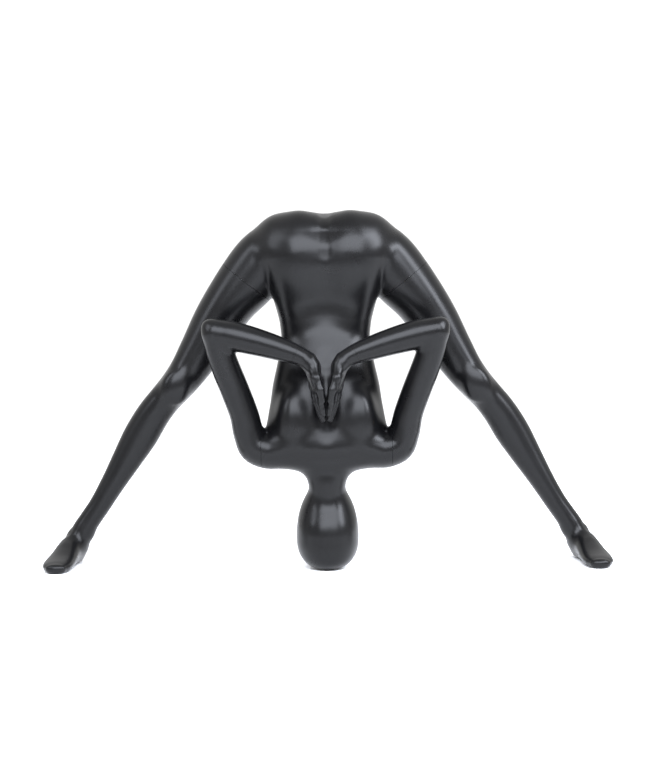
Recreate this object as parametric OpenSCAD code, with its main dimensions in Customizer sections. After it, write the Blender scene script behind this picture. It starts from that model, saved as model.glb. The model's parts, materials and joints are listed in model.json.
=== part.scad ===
// Full body display mannequin in a wide legged forward bend, with the hands
// pressed together behind the back. It stands on both soles and on its crown.
//
// Every shell is a fibreglass casting with a bonded plywood board behind each
// seam. Turned fittings on the boards let the arms swivel and pull off, and
// let the legs pull off along the thigh.
//
// Frame: the toes and the back face -Y, +X is the mannequin's own left, +Z is
// up, and the origin is on the floor under the middle of the whole figure.
// Rows of sections are measured from the line through the ankles, and placed()
// moves them by ankle_y.

/* [Shells] */
// Thickness of the fibreglass wall
shell_wall = 4; // [3.5:0.5:4.5]
// Open gap between two shells where they meet
seam_gap = 0.8; // [0.6:0.1:1.2]
// Thickness of the plywood boards behind the seams
board_t = 12; // [9:1:14]

/* [Shoulder fitting] */
// Distance from the middle plane to the shoulder seam
shoulder_x = 160; // [158:0.5:162]
// Diameter of the swivel core that turns in the housing
core_d = 40; // [38:1:41]
// Diameter of the post on the arm
arm_post_d = 20; // [16:1:20]
// Length of the post on the arm beyond the seam
arm_post_l = 22; // [18:1:23]

/* [Thigh fitting] */
// Angle of the leg post from the vertical
thigh_angle = 38.5; // [37:0.5:40]
// Diameter of the post that carries the leg
leg_post_d = 26; // [22:1:30]
// Length of the leg post beyond the seam
leg_post_l = 54; // [45:1:60]

/* [Wrist fitting] */
// Diameter of the peg between arm and hand
wrist_peg_d = 12; // [10:1:13]

/* [Hidden] */

paint = "#343537";
plywood = "#c8a878";
steel = "#a8acb0";
zinc = "#c6c8c8";
magnet_silver = "#d4d6d8";

ankle_y = 63;
run_clear = 0.08;        // radial clearance of a part that turns in another
post_clear = 0.1;        // clearance of a post in its socket
glue_gap = 0.3;          // resin joint round a board
screw_clear = 0.2;
body_sides = 30;
limb_sides = 24;
inner_share = 0.7;       // sides of an inner surface, as a share of the outer

shoulder = [shoulder_x, -105, 291];  // centre of the shoulder seam
hip_seam = [200, 25, 704];           // centre of the thigh seam
hip_axis = [sin(thigh_angle), 0, -cos(thigh_angle)];
wrist_seam = [70, -187, 529];
wrist_axis = [-0.882, -0.157, -0.444];

// ---- body outline, for the mannequin's left side --------------------------

// height, y of the middle, half width, depth towards -Y, depth towards +Y
trunk_rows = [
    [262, -101, 95, 48, 50], [291, -102, 125, 62, 62], [330, -94, 147, 74, 74],
    [375, -74, 143, 91, 92], [403, -62, 138, 98, 101], [450, -52, 131, 98, 97],
    [490, -44, 122, 94, 94], [540, -30, 112, 85, 85], [592, -8, 107, 77, 78],
    [640, 6, 114, 78, 79], [700, 14, 128, 96, 96], [760, 11, 138, 104, 109],
    [801, 16, 138, 98, 104], [835, 18, 122, 80, 88], [858, 20, 92, 55, 62],
    [869, 20, 60, 30, 38]];

neck_rows = [
    [150, -108, 45, 46, 48], [180, -110, 44, 50, 48], [200, -112, 45, 50, 50],
    [222, -110, 52, 52, 52], [240, -106, 66, 53, 54], [262, -102, 98, 55, 56],
    [292, -102, 118, 58, 60]];

head_rows = [
    [-2, -130, 10, 10, 12], [1, -130, 24, 26, 28], [8, -124, 42, 48, 50],
    [24, -116, 59.5, 66, 72], [39, -110, 67, 76, 82], [54, -105, 72, 84, 89],
    [83, -99, 74.2, 92, 95], [112, -94, 69.5, 90, 92], [141, -88, 63.5, 76, 86],
    [165, -80, 57, 58, 78], [185, -68, 50, 42, 66], [200, -55, 36, 28, 50],
    [208, -45, 16, 12, 26]];

// x, y and z of the middle, half width across the path, depths as above
girdle_rows = [
    [-5, -98, 308, 64, 66, 70], [60, -100, 300, 57, 62, 64],
    [110, -104, 292, 48, 56, 56], [150, -105, 290, 44, 49, 49],
    [172, -107, 297, 41.5, 47, 47]];

upper_arm_rows = [
    [150, -105, 290, 44, 49, 49], [172, -107, 297, 41.5, 47, 47],
    [188, -110, 330, 38, 44, 44], [200, -115, 377, 35.5, 42, 42],
    [220, -125, 435, 35, 38, 38], [242, -137, 493, 34.5, 36, 36],
    [260, -149, 550, 33, 33, 33], [272, -153, 588, 27, 28, 28]];

forearm_rows = [
    [289, -153, 601, 10, 12, 12], [281, -154, 592, 24, 24, 24],
    [262, -156, 583, 32, 32, 32], [191, -166, 566, 33.6, 36, 36],
    [108, -180, 542, 28.5, 30, 30], [70, -187, 529, 24.5, 27, 27],
    [42, -192, 515, 20.5, 25, 25]];

leg_rows = [
    [45, 22, 802, 68, 80, 80], [95, 24, 792, 76, 82, 82],
    [140, 25, 768, 77, 82, 82], [198, 25, 699, 74, 78, 78],
    [238, 24, 651, 66, 73, 73],
    [268, 23, 606, 62, 68, 68], [312, 18, 531, 53, 60, 60],
    [352, 10, 471, 46, 52, 52], [376, 8, 441, 43, 52, 48],
    [403, 11, 411, 41, 48, 50], [428, 16, 380, 41, 46, 52],
    [466, 22, 320, 43.5, 44, 56], [502, 20, 260, 37, 39, 50],
    [538, 16, 200, 30.5, 35, 41], [575, 13, 140, 27.5, 33, 35],
    [596, 12, 110, 28, 34, 35], [616, 12, 78, 28.5, 36, 36],
    [627, 13, 48, 26, 38, 36], [630, 14, 34, 22, 36, 34]];

// distance from the heel, half width, height of the top, height of the sole
foot_rows = [
    [0, 10, 24, 10], [8, 21, 36, 3], [24, 28, 52, -1], [46, 31, 64, -1],
    [72, 32, 70, -1], [98, 33, 62, -1], [128, 35, 49, -1], [158, 37, 38, -1],
    [186, 37, 31, -1], [212, 33, 26, -1], [229, 24, 21, 1], [237, 12, 16, 5]];
heel = [633, 55, 0];
toe_out = 8;

buttock = [62, -4, 788];
buttock_size = [70, 94, 85];

// finger joints from the knuckle to the tip, with a radius each, from the
// index finger to the little finger
finger_lines = [
    [[16, -226, 442, 9.2], [12, -226, 416, 8.2], [8.6, -224, 398, 7.2], [6.6, -222, 387, 6]],
    [[22, -211, 440, 9.2], [17, -211, 412, 8.3], [11, -209, 388, 7.3], [6.8, -208, 374, 6]],
    [[28, -196, 442, 9], [23.5, -196, 414, 8.1], [15.5, -195, 388, 7.1], [9.5, -194, 371, 5.8]],
    [[32, -182, 450, 8.2], [29, -182, 428, 7.4], [22.5, -182, 406, 6.5], [16.5, -182, 391, 5.4]]];
thumb_line = [[31, -208, 500, 14], [25, -228, 474, 12], [15, -236, 446, 10],
              [9, -234, 422, 7.6]];
wrist_line = [[74, -186, 531, 22], [46, -191, 517, 20], [33, -196, 496, 18]];
heel_of_hand = [[27, -218, 492, 14], [27, -184, 490, 13]];

// ---- curves and lofts -----------------------------------------------------

function unit(v) = v / norm(v);

// Closed oval: half width a along u, and depths b and c along -v and v.
function oval(centre, u, v, a, b, c, sides) = [
    for (i = [0 : sides - 1]) let (t = 360 * i / sides)
        centre + u * a * cos(t) + v * sin(t) * (sin(t) < 0 ? b : c)];

// Rows without their first and last ones, for the inside of a closed form.
function inside(rows) = [for (i = [1 : len(rows) - 2]) rows[i]];

function middle(ring) = [for (p = ring) 1] * ring / len(ring);

// Solid through rings that each have the same number of points.
module loft(rings) {
    n = len(rings[0]);
    m = len(rings);
    polyhedron(
        points = concat([for (r = rings) each r],
                        [middle(rings[0]), middle(rings[m - 1])]),
        faces = concat(
            [for (j = [0 : m - 2], i = [0 : n - 1]) let (k = (i + 1) % n)
                [j * n + i, (j + 1) * n + i, (j + 1) * n + k]],
            [for (j = [0 : m - 2], i = [0 : n - 1]) let (k = (i + 1) % n)
                [j * n + i, (j + 1) * n + k, j * n + k]],
            [for (i = [0 : n - 1]) [m * n, i, (i + 1) % n]],
            [for (i = [0 : n - 1]) let (k = (i + 1) % n)
                [m * n + 1, (m - 1) * n + k, (m - 1) * n + i]]));
}

// Level rings, each from a row of the trunk, neck or head.
module level_loft(rows, inset, sides) {
    loft([for (r = rows) oval([0, r[1], r[0]], [1, 0, 0], [0, 1, 0],
        r[2] - inset, r[3] - inset, r[4] - inset, sides)]);
}

// Rings across a path that runs near the xz plane.
module path_loft(rows, inset, sides) {
    last = len(rows) - 1;
    loft([for (i = [0 : last])
        let (r = rows[i], a = rows[max(i - 1, 0)], b = rows[min(i + 1, last)],
             way = unit([b[0] - a[0], 0, b[2] - a[2]]))
        oval([r[0], r[1], r[2]], [way[2], 0, -way[0]], [0, 1, 0],
            r[3] - inset, r[4] - inset, r[5] - inset, sides)]);
}

// One closed surface for children that are all free form.
module as_one_surface() {
    resize([0, 0, 0]) union() children();
}

// A child drawn along +Z runs along n from p.
module along(p, n) {
    translate(p) rotate([0, acos(unit(n)[2]), atan2(n[1], n[0])]) children();
}

// Block that fills the side of the plane at p to which n points.
module beyond(p, n, reach = 400) {
    along(p, n) translate([-reach / 2, -reach / 2, 0]) cube(reach);
}

module below_floor() {
    translate([-900, -400, -50]) cube([1800, 800, 50]);
}

module placed() {
    translate([0, ankle_y, 0]) children();
}

module on_left() {
    placed() children();
}

module on_right() {
    placed() mirror([1, 0, 0]) children();
}

module both_sides() {
    children();
    mirror([1, 0, 0]) children();
}

// ---- shells ---------------------------------------------------------------

module buttock_form(inset, sides) {
    level = [for (t = [-90 : 22.5 : 90]) t];
    loft([for (t = level) let (c = max(cos(t), 0.08), s = buttock_size)
        oval(buttock + [0, 0, (s[2] - inset) * sin(t)], [1, 0, 0], [0, 1, 0],
            (s[0] - inset) * c, (s[1] - inset) * c, (s[1] - inset) * c, sides)]);
}

// Thigh root up to past_seam beyond the thigh seam.
module thigh_root(inset, sides, past_seam) {
    difference() {
        path_loft([for (i = [0 : 5]) leg_rows[i]], inset, sides);
        beyond(hip_seam + past_seam * hip_axis, hip_axis);
    }
}

module torso_inside(sides) {
    level_loft(inside(trunk_rows), shell_wall, sides);
    level_loft(inside(neck_rows), shell_wall, sides);
    level_loft([for (i = [2 : len(head_rows) - 2]) head_rows[i]], shell_wall, sides);
    both_sides() {
        buttock_form(shell_wall, sides);
        path_loft(girdle_rows, shell_wall, sides);
        thigh_root(shell_wall, sides, 5);
    }
}

module torso_shell() {
    inner_sides = round(body_sides * inner_share);
    color(paint) placed() as_one_surface() difference() {
        union() {
            level_loft(trunk_rows, 0, body_sides);
            level_loft(neck_rows, 0, body_sides);
            level_loft(head_rows, 0, body_sides);
            both_sides() {
                buttock_form(0, body_sides);
                path_loft(girdle_rows, 0, body_sides);
                thigh_root(0, body_sides, -seam_gap / 2);
            }
        }
        torso_inside(inner_sides);
        both_sides() beyond(shoulder - [seam_gap / 2, 0, 0], [1, 0, 0], 200);
        below_floor();
    }
}

module arm_shell() {
    inner_sides = round(limb_sides * inner_share);
    color(paint) as_one_surface() difference() {
        union() {
            path_loft(upper_arm_rows, 0, limb_sides);
            path_loft(forearm_rows, 0, limb_sides);
        }
        path_loft([for (i = [0 : len(upper_arm_rows) - 2]) upper_arm_rows[i]],
            shell_wall, inner_sides);
        path_loft([for (i = [2 : len(forearm_rows) - 1]) forearm_rows[i]],
            shell_wall, inner_sides);
        beyond(shoulder + [seam_gap / 2, 0, 0], [-1, 0, 0], 200);
        beyond(wrist_seam - wrist_axis * seam_gap / 4, wrist_axis, 120);
    }
}

module foot() {
    translate(heel) rotate(toe_out)
        loft([for (r = foot_rows) let (up = (r[2] - r[3]) / 2)
            [for (i = [0 : limb_sides - 1]) let (t = 360 * i / limb_sides)
                [r[1] * cos(t), -r[0],
                 r[3] + up + up * sign(sin(t)) * pow(abs(sin(t)), 0.7)]]]);
}

module leg_shell() {
    inner_sides = round(limb_sides * inner_share);
    color(paint) as_one_surface() difference() {
        union() {
            path_loft([for (i = [2 : len(leg_rows) - 1]) leg_rows[i]], 0, limb_sides);
            foot();
        }
        path_loft([for (i = [2 : len(leg_rows) - 4]) leg_rows[i]],
            shell_wall, inner_sides);
        beyond(hip_seam + hip_axis * seam_gap / 2, -hip_axis);
        below_floor();
    }
}

module bead(p) {
    translate([p[0], p[1], p[2]]) sphere(p[3], $fn = 12);
}

module bead_chain(line) {
    for (i = [0 : len(line) - 2]) hull() {
        bead(line[i]);
        bead(line[i + 1]);
    }
}

peg_in_hand = 18;

module hand() {
    color(paint) difference() {
        as_one_surface() difference() {
            union() {
                bead_chain(wrist_line);
                hull() {
                    bead(wrist_line[2]);
                    for (p = heel_of_hand) bead(p);
                    for (f = finger_lines) bead(f[0]);
                }
                for (f = finger_lines) bead_chain(f);
                bead_chain(thumb_line);
            }
            beyond(wrist_seam + wrist_axis * seam_gap / 4, -wrist_axis, 120);
            translate([seam_gap / 2 - 100, -300, 300]) cube([100, 300, 300]);
        }
        along(wrist_seam, wrist_axis) translate([0, 0, -1])
            cylinder(d = wrist_peg_d + post_clear, h = peg_in_hand + 2, $fn = 48);
    }
}

// ---- boards ---------------------------------------------------------------
// Along the axis of a seam, 0 is the seam and negative is into the shell.

board_z = -4.5;          // face of a board next to its seam
flange_t = 3.5;
flange_z = board_z + flange_t;

arm_screw_d = 4;
leg_screw_d = 5;
housing_flange_d = 72;
housing_pcd = 60;
arm_flange_d = 62;
arm_pcd = 46;
leg_flange_d = 96;
leg_pcd = 76;

// Board cut to the inside of the shell, which the child fills.
module board(p, n, hole_d, pcd, screws, screw_d) {
    color(plywood) difference() {
        as_one_surface() intersection() {
            children();
            along(p, n) translate([-150, -150, board_z - board_t])
                cube([300, 300, board_t]);
        }
        along(p, n) {
            translate([0, 0, board_z - board_t - 1])
                cylinder(d = hole_d, h = board_t + 2, $fn = 64);
            for (i = [0 : screws - 1]) rotate(360 * i / screws)
                translate([pcd / 2, 0, board_z - board_t - 1])
                    cylinder(d = screw_d + 2 * screw_clear, h = board_t + 2, $fn = 24);
        }
    }
}

housing_d = core_d + 6;

module shoulder_board() {
    board(shoulder, [1, 0, 0], housing_d + 2, housing_pcd, 4, arm_screw_d)
        path_loft(girdle_rows, shell_wall + glue_gap, round(body_sides * inner_share));
}

module arm_board() {
    board(shoulder, [-1, 0, 0], arm_post_d + 5, arm_pcd, 4, arm_screw_d)
        path_loft(upper_arm_rows, shell_wall + glue_gap, round(limb_sides * inner_share));
}

module hip_board() {
    board(hip_seam, hip_axis, leg_post_d + 5, leg_pcd, 6, leg_screw_d)
        path_loft([for (i = [0 : 5]) leg_rows[i]], shell_wall + glue_gap,
            round(body_sides * inner_share));
}

module leg_board() {
    board(hip_seam, -hip_axis, leg_post_d + 14, leg_pcd, 6, leg_screw_d)
        path_loft([for (i = [2 : 7]) leg_rows[i]], shell_wall + glue_gap,
            round(limb_sides * inner_share));
}

// ---- screws ---------------------------------------------------------------

head_share = 0.6;        // height of a countersunk head over the thread size

module screws(pcd, n, d, l) {
    top = flange_z - 0.2;
    head_l = d * head_share;
    for (i = [0 : n - 1]) rotate(360 * i / n) translate([pcd / 2, 0, top])
        difference() {
            union() {
                translate([0, 0, -head_l]) cylinder(d1 = d, d2 = 2 * d, h = head_l, $fn = 32);
                translate([0, 0, -l]) cylinder(d = d, h = l - head_l, $fn = 32);
            }
            for (a = [0, 90]) rotate(a)
                translate([-d * 0.6, -d * 0.12, -d * 0.3]) cube([d * 1.2, d * 0.24, d]);
        }
}

module screw_holes(pcd, n, d) {
    head_l = d * head_share;
    for (i = [0 : n - 1]) rotate(360 * i / n) translate([pcd / 2, 0, flange_z]) {
        translate([0, 0, -20]) cylinder(d = d + 2 * screw_clear, h = 30, $fn = 32);
        translate([0, 0, -head_l - screw_clear])
            cylinder(d1 = d + 2 * screw_clear, d2 = 2 * d + 1, h = head_l + 0.25, $fn = 32);
    }
}

// ---- shoulder fitting -----------------------------------------------------

housing_back = -36;
housing_floor = -31;
core_face = -1.2;
core_back = -30.7;
stem_d = 10;
stem_back = -47;
washer_t = 2;
nut_t = 6;
magnet_d = 6;
magnet_l = 5;
magnet_pcd = 31;
spacing = 0.3;           // end play between stacked parts

module shoulder_housing() {
    color(steel) along(shoulder, [1, 0, 0]) difference() {
        union() {
            translate([0, 0, board_z]) cylinder(d = housing_flange_d, h = flange_t, $fn = 96);
            translate([0, 0, housing_back])
                cylinder(d = housing_d, h = flange_z - housing_back, $fn = 96);
        }
        translate([0, 0, housing_floor])
            cylinder(d = core_d + 2 * run_clear, h = 40, $fn = 96);
        translate([0, 0, housing_back - 1])
            cylinder(d = stem_d + 2 * run_clear, h = 10, $fn = 48);
        screw_holes(housing_pcd, 4, arm_screw_d);
    }
}

module housing_screws() {
    color(zinc) along(shoulder, [1, 0, 0]) screws(housing_pcd, 4, arm_screw_d, 14);
}

// Post with one flat, so that the arm goes in one way round.
module arm_key(clear, from, to) {
    difference() {
        translate([0, 0, from]) cylinder(d = arm_post_d + 2 * clear, h = to - from, $fn = 64);
        translate([arm_post_d / 2 - 3 + clear, -arm_post_d, from - 1])
            cube([arm_post_d, 2 * arm_post_d, to - from + 2]);
    }
}

module swivel_core() {
    color(zinc) along(shoulder, [1, 0, 0]) difference() {
        union() {
            translate([0, 0, core_back]) cylinder(d = core_d, h = core_face - core_back, $fn = 96);
            translate([0, 0, stem_back]) cylinder(d = stem_d, h = core_back + 1 - stem_back, $fn = 48);
        }
        arm_key(post_clear, -arm_post_l - 1.5, 2);
        for (a = [45 : 90 : 315]) rotate(a)
            translate([magnet_pcd / 2, 0, core_face - magnet_l - 0.2])
                cylinder(d = magnet_d + post_clear, h = magnet_l + 1, $fn = 32);
    }
}

module swivel_magnets() {
    color(magnet_silver) along(shoulder, [1, 0, 0]) for (a = [45 : 90 : 315]) rotate(a)
        translate([magnet_pcd / 2, 0, core_face - magnet_l])
            cylinder(d = magnet_d, h = magnet_l - 0.2, $fn = 32);
}

module swivel_washer() {
    color(zinc) along(shoulder, [1, 0, 0])
        translate([0, 0, housing_back - spacing - washer_t]) difference() {
            cylinder(d = 22, h = washer_t, $fn = 64);
            translate([0, 0, -1]) cylinder(d = stem_d + 2 * screw_clear, h = washer_t + 2, $fn = 48);
        }
}

module swivel_nut() {
    color(zinc) along(shoulder, [1, 0, 0])
        translate([0, 0, housing_back - 2 * spacing - washer_t - nut_t]) difference() {
            cylinder(d = 18.5, h = nut_t, $fn = 6);
            translate([0, 0, -1]) cylinder(d = stem_d + post_clear, h = nut_t + 2, $fn = 48);
        }
}

module arm_post() {
    boss_back = board_z - board_t;
    color(steel) along(shoulder, [-1, 0, 0]) difference() {
        union() {
            translate([0, 0, board_z]) cylinder(d = arm_flange_d, h = flange_t, $fn = 96);
            translate([0, 0, boss_back]) cylinder(d = arm_post_d + 3, h = board_t + 1, $fn = 64);
            arm_key(0, board_z, arm_post_l);
        }
        screw_holes(arm_pcd, 4, arm_screw_d);
    }
}

module arm_screws() {
    color(zinc) along(shoulder, [-1, 0, 0]) screws(arm_pcd, 4, arm_screw_d, 14);
}

// ---- thigh fitting --------------------------------------------------------

// Post with two flats, so that the leg can't turn.
module leg_key(clear, from, to) {
    difference() {
        translate([0, 0, from]) cylinder(d = leg_post_d + 2 * clear, h = to - from, $fn = 64);
        for (m = [0, 1]) mirror([0, m, 0])
            translate([-leg_post_d, leg_post_d / 2 - 3 + clear, from - 1])
                cube([2 * leg_post_d, leg_post_d, to - from + 2]);
    }
}

module hip_post() {
    boss_back = board_z - board_t - 6;
    color(steel) along(hip_seam, hip_axis) difference() {
        union() {
            translate([0, 0, board_z]) cylinder(d = leg_flange_d, h = flange_t, $fn = 96);
            translate([0, 0, boss_back]) cylinder(d = leg_post_d + 3, h = board_t + 7, $fn = 64);
            leg_key(0, board_z, leg_post_l);
        }
        screw_holes(leg_pcd, 6, leg_screw_d);
    }
}

module hip_screws() {
    color(zinc) along(hip_seam, hip_axis) screws(leg_pcd, 6, leg_screw_d, 18);
}

module leg_socket() {
    socket_back = -leg_post_l - 6;
    color(steel) along(hip_seam, -hip_axis) difference() {
        union() {
            translate([0, 0, board_z]) cylinder(d = leg_flange_d, h = flange_t, $fn = 96);
            translate([0, 0, socket_back])
                cylinder(d = leg_post_d + 12, h = flange_z - socket_back, $fn = 96);
        }
        leg_key(post_clear, socket_back + 4, 2);
        screw_holes(leg_pcd, 6, leg_screw_d);
    }
}

module leg_screws() {
    color(zinc) along(hip_seam, -hip_axis) screws(leg_pcd, 6, leg_screw_d, 18);
}

// ---- wrist fitting --------------------------------------------------------

plug_back = -30;
plug_face = -1.5;
plug_floor = -20;
wrist_magnet_l = 3;

module wrist_plug() {
    color(plywood) difference() {
        as_one_surface() intersection() {
            path_loft(forearm_rows, shell_wall + glue_gap, round(limb_sides * inner_share));
            along(wrist_seam, wrist_axis) translate([-60, -60, plug_back])
                cube([120, 120, plug_face - plug_back]);
        }
        along(wrist_seam, wrist_axis) translate([0, 0, plug_floor])
            cylinder(d = wrist_peg_d + 2 * post_clear, h = 30, $fn = 48);
    }
}

module wrist_magnet() {
    color(magnet_silver) along(wrist_seam, wrist_axis) translate([0, 0, plug_floor + 0.1])
        cylinder(d = wrist_peg_d, h = wrist_magnet_l, $fn = 48);
}

module hand_peg() {
    from = plug_floor + wrist_magnet_l + spacing;
    color(zinc) along(wrist_seam, wrist_axis) translate([0, 0, from])
        cylinder(d = wrist_peg_d, h = peg_in_hand - from, $fn = 48);
}

// ---- the nodes ------------------------------------------------------------

torso_shell();
on_right() shoulder_board();  // right_shoulder_board
on_left() shoulder_board();  // left_shoulder_board
on_right() shoulder_housing();  // right_shoulder_housing
on_left() shoulder_housing();  // left_shoulder_housing
on_right() housing_screws();  // right_housing_screws
on_left() housing_screws();  // left_housing_screws
on_right() swivel_core();  // right_swivel_core
on_left() swivel_core();  // left_swivel_core
on_right() swivel_magnets();  // right_swivel_magnets
on_left() swivel_magnets();  // left_swivel_magnets
on_right() swivel_washer();  // right_swivel_washer
on_left() swivel_washer();  // left_swivel_washer
on_right() swivel_nut();  // right_swivel_nut
on_left() swivel_nut();  // left_swivel_nut
on_right() arm_shell();  // right_arm_shell
on_left() arm_shell();  // left_arm_shell
on_right() arm_board();  // right_arm_board
on_left() arm_board();  // left_arm_board
on_right() arm_post();  // right_arm_post
on_left() arm_post();  // left_arm_post
on_right() arm_screws();  // right_arm_screws
on_left() arm_screws();  // left_arm_screws
on_right() wrist_plug();  // right_wrist_plug
on_left() wrist_plug();  // left_wrist_plug
on_right() wrist_magnet();  // right_wrist_magnet
on_left() wrist_magnet();  // left_wrist_magnet
on_right() hand_peg();  // right_hand_peg
on_left() hand_peg();  // left_hand_peg
on_right() hand();  // right_hand
on_left() hand();  // left_hand
on_right() hip_board();  // right_hip_board
on_left() hip_board();  // left_hip_board
on_right() hip_post();  // right_hip_post
on_left() hip_post();  // left_hip_post
on_right() hip_screws();  // right_hip_screws
on_left() hip_screws();  // left_hip_screws
on_right() leg_shell();  // right_leg_shell
on_left() leg_shell();  // left_leg_shell
on_right() leg_board();  // right_leg_board
on_left() leg_board();  // left_leg_board
on_right() leg_socket();  // right_leg_socket
on_left() leg_socket();  // left_leg_socket
on_right() leg_screws();  // right_leg_screws
on_left() leg_screws();  // left_leg_screws
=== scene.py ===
# %% [markdown]
# # A black display mannequin in a forward bend
# The figure is a set of thin fibreglass castings sprayed satin black: one
# torso with its head, two arms, two hands and two legs. The fittings between
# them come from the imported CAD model, which is the fixed frame. The castings
# are rebuilt here as smooth surfaces, because a casting has no flat facets.

# %% Load the frame
import json
import math

import bmesh
import bpy
import numpy as np
from mathutils import Matrix, Vector


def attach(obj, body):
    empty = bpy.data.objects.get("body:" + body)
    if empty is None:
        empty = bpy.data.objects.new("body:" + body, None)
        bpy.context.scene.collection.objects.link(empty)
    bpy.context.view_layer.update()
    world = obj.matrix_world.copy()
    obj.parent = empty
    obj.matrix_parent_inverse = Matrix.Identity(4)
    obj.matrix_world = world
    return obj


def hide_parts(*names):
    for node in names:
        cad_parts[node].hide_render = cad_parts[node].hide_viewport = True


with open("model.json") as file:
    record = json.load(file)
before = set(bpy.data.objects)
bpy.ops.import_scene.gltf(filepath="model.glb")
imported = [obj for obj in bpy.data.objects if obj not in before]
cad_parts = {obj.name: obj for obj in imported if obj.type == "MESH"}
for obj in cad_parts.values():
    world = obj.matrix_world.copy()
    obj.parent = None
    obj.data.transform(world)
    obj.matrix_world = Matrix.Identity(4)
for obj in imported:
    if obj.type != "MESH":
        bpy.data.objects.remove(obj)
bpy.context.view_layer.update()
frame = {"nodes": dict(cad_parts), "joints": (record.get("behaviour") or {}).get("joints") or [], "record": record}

MM = 0.001
SIDES = {"left": 1, "right": -1}

# %% [markdown]
# The shapes below are written in millimetres, with y measured from the line
# through the ankles. One joint of the frame tells how far that line is from
# the origin, so a shape lands where the CAD model has it.

# %% Place of the ankle line and of the seams
shoulder_joint = next(j for j in frame["joints"] if j["name"] == "left_shoulder_swivel")
leg_joint = next(j for j in frame["joints"] if j["name"] == "left_leg_pull")
SHOULDER_BEHIND_ANKLES = -105
shoulder_x = shoulder_joint["pos_m"][0] / MM
ankle_y = shoulder_joint["pos_m"][1] / MM - SHOULDER_BEHIND_ANKLES
leg_axis = np.array(leg_joint["axis"], float)
thigh_seam = np.array([200.0, 25.0, 704.0])
wrist_seam = np.array([70.0, -187.0, 529.0])
wrist_axis = np.array([-0.882, -0.157, -0.444])
SEAM_GAP = 0.8
print("ankle line at y =", round(ankle_y, 2), "mm")

# %% [markdown]
# The camera comes first. It stands square in front of the figure at about hip
# height, far enough away for a long lens, and leans over by half a degree.

# %% Camera
CAMERA_DISTANCE = 5.35
CAMERA_HEIGHT = 0.79
CAMERA_LEAN = math.radians(-0.6)
AIM_SIDE = -0.009
AIM_HEIGHT = 0.438
LENS_OVER_SENSOR = 2.777

camera_data = bpy.data.cameras.new("camera")
camera_data.sensor_width = 36
camera_data.lens = camera_data.sensor_width * LENS_OVER_SENSOR
camera = bpy.data.objects.new("camera", camera_data)
bpy.context.scene.collection.objects.link(camera)
bpy.context.scene.camera = camera
camera.location = (0, -CAMERA_DISTANCE + ankle_y * MM, CAMERA_HEIGHT)
aim = Vector((AIM_SIDE, ankle_y * MM, AIM_HEIGHT))
facing = (aim - camera.location).to_track_quat("-Z", "Y").to_matrix()
camera.rotation_euler = (facing @ Matrix.Rotation(CAMERA_LEAN, 3, "Z")).to_euler()
print("lens", round(camera_data.lens, 1), "mm")

# %% [markdown]
# ## How a body is described
# A sculptor's armature is a good model for a body: a line through each limb
# with a section at each station. Here each row of numbers is one station. A
# smooth curve runs through the rows, and a *distance field* tells for any
# point in space how far it is outside the skin. Fields can be blended, which
# gives the soft transitions at armpit, groin and neck that lofts can't give.

# %% Stations along a limb
def smooth_rows(rows, step):
    """Rows on a curve through the given rows, about step apart."""
    rows = np.array(rows, float)
    gaps = np.linalg.norm(np.diff(rows[:, [0, 2]], axis=0), axis=1)
    place = np.concatenate([[0], np.cumsum(gaps)])
    slope = np.gradient(rows, place, axis=0)
    wanted = np.linspace(0, place[-1], int(place[-1] / step) + 2)
    k = np.clip(np.searchsorted(place, wanted, side="right") - 1, 0, len(rows) - 2)
    width = gaps[k][:, None]
    t = ((wanted - place[k])[:, None]) / width
    return ((2 * t**3 - 3 * t**2 + 1) * rows[k] + (t**3 - 2 * t**2 + t) * width * slope[k]
            + (3 * t**2 - 2 * t**3) * rows[k + 1] + (t**3 - t**2) * width * slope[k + 1])


class Limb:
    """Field of a limb whose line runs in the xz plane. A row is x, y, z, half
    width across the line in that plane, depth towards -y, depth towards +y."""

    def __init__(self, rows, caps=(0.8, 0.8), step=7):
        self.rows = smooth_rows(rows, step)
        line = self.rows[:, [0, 2]]
        way = np.gradient(line, axis=0)
        self.way = way / np.linalg.norm(way, axis=1)[:, None]
        self.caps = [caps[0] * self.rows[0, 3], caps[1] * self.rows[-1, 3]]
        reach = self.rows[:, 3:].max() + 30
        self.low = self.rows[:, :3].min(0) - reach
        self.high = self.rows[:, :3].max(0) + reach

    def __call__(self, points):
        result = np.full(len(points), 500.0)
        near = np.all((points > self.low) & (points < self.high), axis=1)
        for part in np.array_split(np.nonzero(near)[0], max(1, near.sum() // 40000)):
            result[part] = self.near(points[part])
        return result

    def near(self, points):
        flat = points[:, [0, 2]]
        start = self.rows[:-1, [0, 2]]
        step = self.rows[1:, [0, 2]] - start
        offset = flat[:, None] - start
        t = np.clip((offset * step).sum(2) / (step**2).sum(1), 0, 1)
        away = ((offset - t[..., None] * step) ** 2).sum(2)
        k = away.argmin(1)
        t = t[np.arange(len(k)), k][:, None]
        row = self.rows[k] * (1 - t) + self.rows[k + 1] * t
        way = self.way[k] * (1 - t) + self.way[k + 1] * t
        way /= np.linalg.norm(way, axis=1)[:, None]
        off = flat - row[:, [0, 2]]
        along = (off * way).sum(1)
        across = off[:, 0] * way[:, 1] - off[:, 1] * way[:, 0]
        deep = points[:, 1] - row[:, 1]
        depth = np.where(deep < 0, row[:, 4], row[:, 5])
        cap = np.where(k < len(self.rows) / 2, self.caps[0], self.caps[1])
        return ellipse_distance(across / row[:, 3], deep / depth, along / cap,
                                row[:, 3], depth, cap)


def ellipse_distance(p, q, r, a, b, c):
    """About the distance to an ellipsoid, from coordinates divided by a, b, c."""
    size = np.sqrt(p**2 + q**2 + r**2)
    slope = np.sqrt((p / a) ** 2 + (q / b) ** 2 + (r / c) ** 2) + 1e-9
    return size * (size - 1) / slope


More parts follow.
